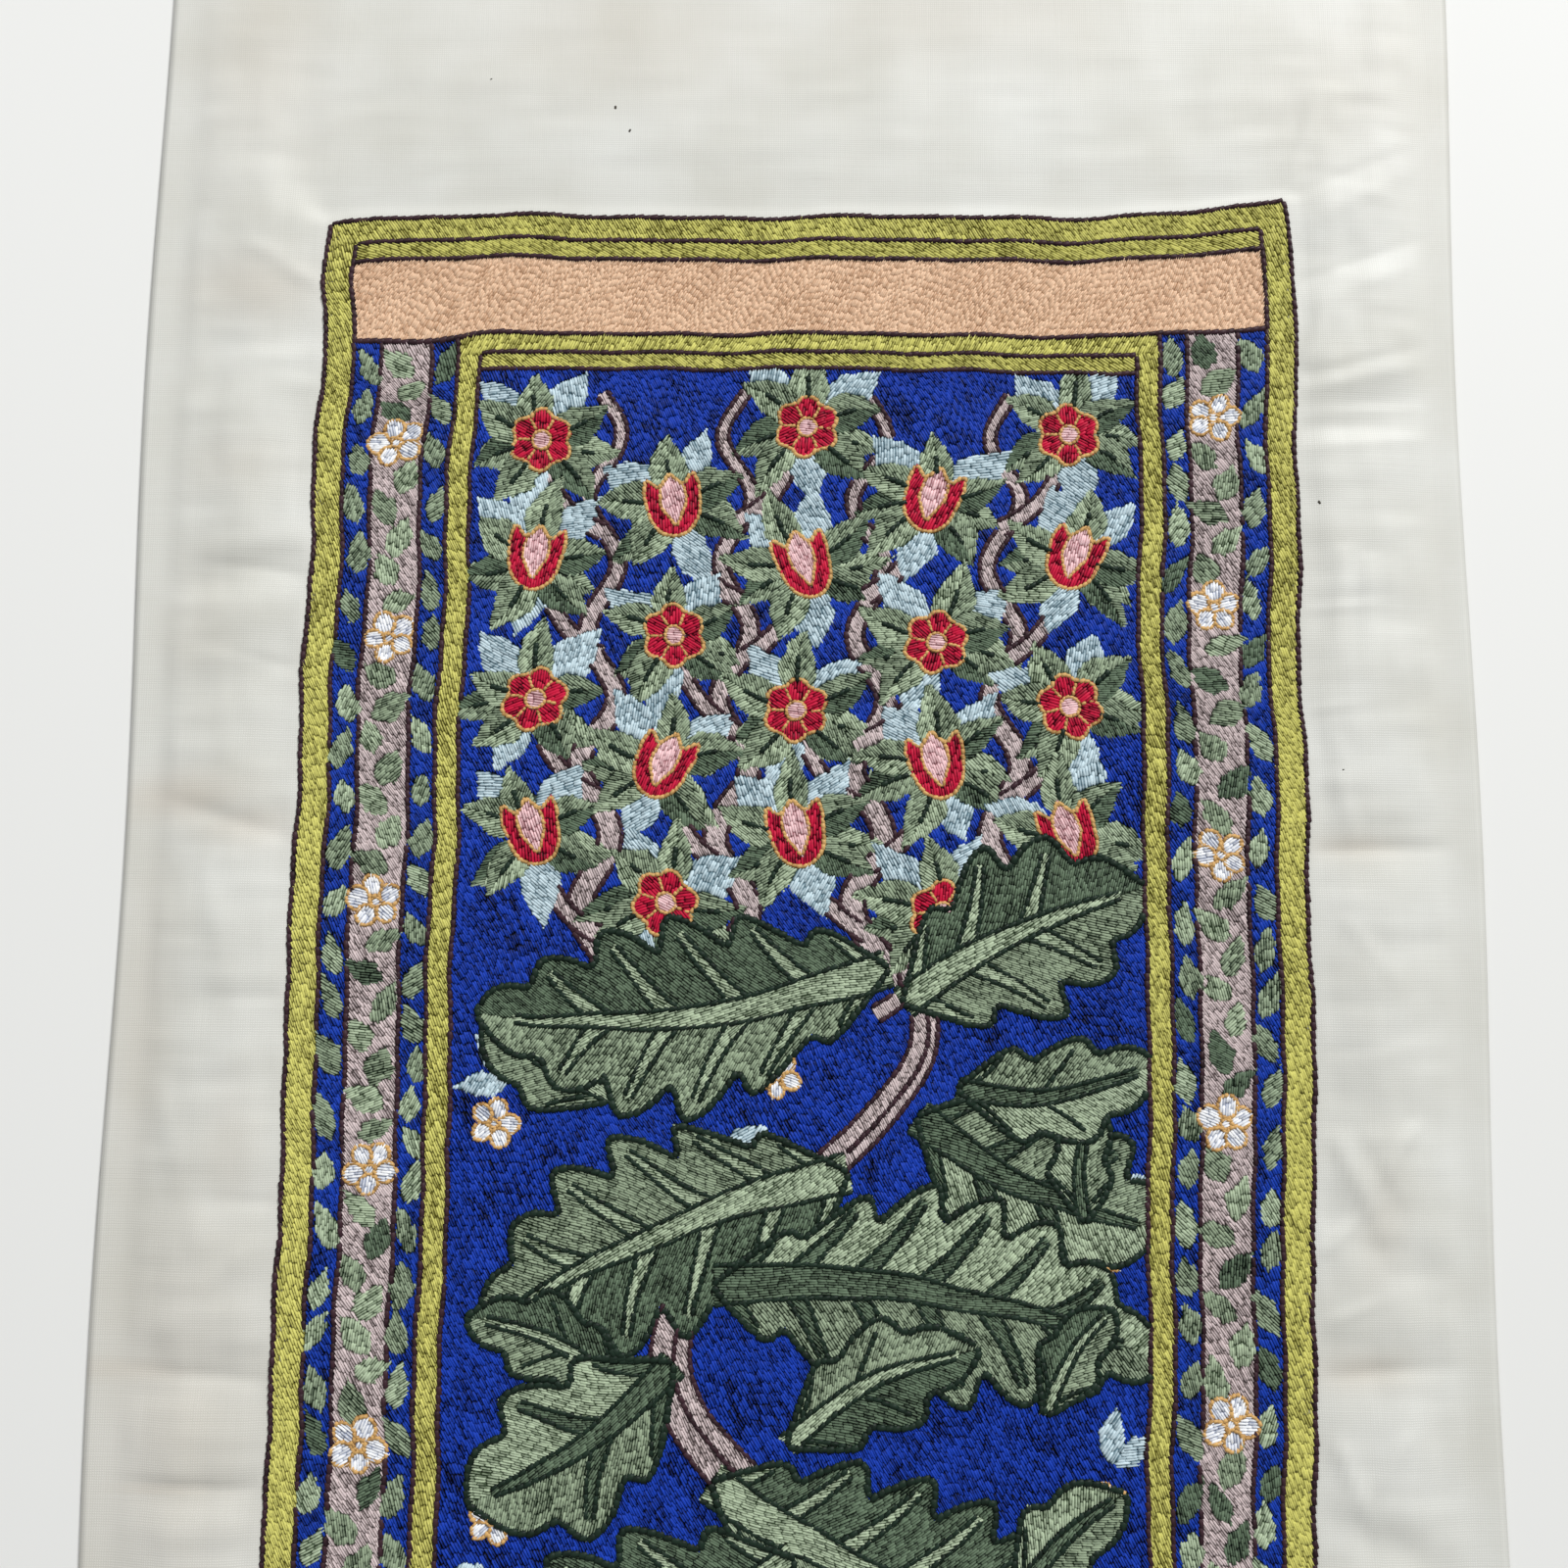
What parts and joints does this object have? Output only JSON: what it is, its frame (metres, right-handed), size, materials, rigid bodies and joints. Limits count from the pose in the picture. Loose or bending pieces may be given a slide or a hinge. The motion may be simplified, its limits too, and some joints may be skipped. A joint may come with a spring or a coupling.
{
  "type": "embroidered tapestry",
  "caption": "Flat embroidered cloth panel with green, blue, mauve and peach stitched borders round a blue floral field, on a plain off-white ground.",
  "frame": {"origin": "centre of the bounding box on the surface that the cloth lies on", "axes": "+Z out of the stitched face, +Y towards the head of the panel, +X to its right"},
  "size_m": [0.3016, 0.5266, 0.0037],
  "materials": {
    "ground_cloth": "fine off-white plain-weave cloth with a soft sheen",
    "stitch_thread": "stranded embroidery thread in many colours, matt with a silky highlight on each stitch"
  },
  "bodies": {
    "root": {"embroidered_cloth": "ground_cloth"}
  },
  "joints": []
}
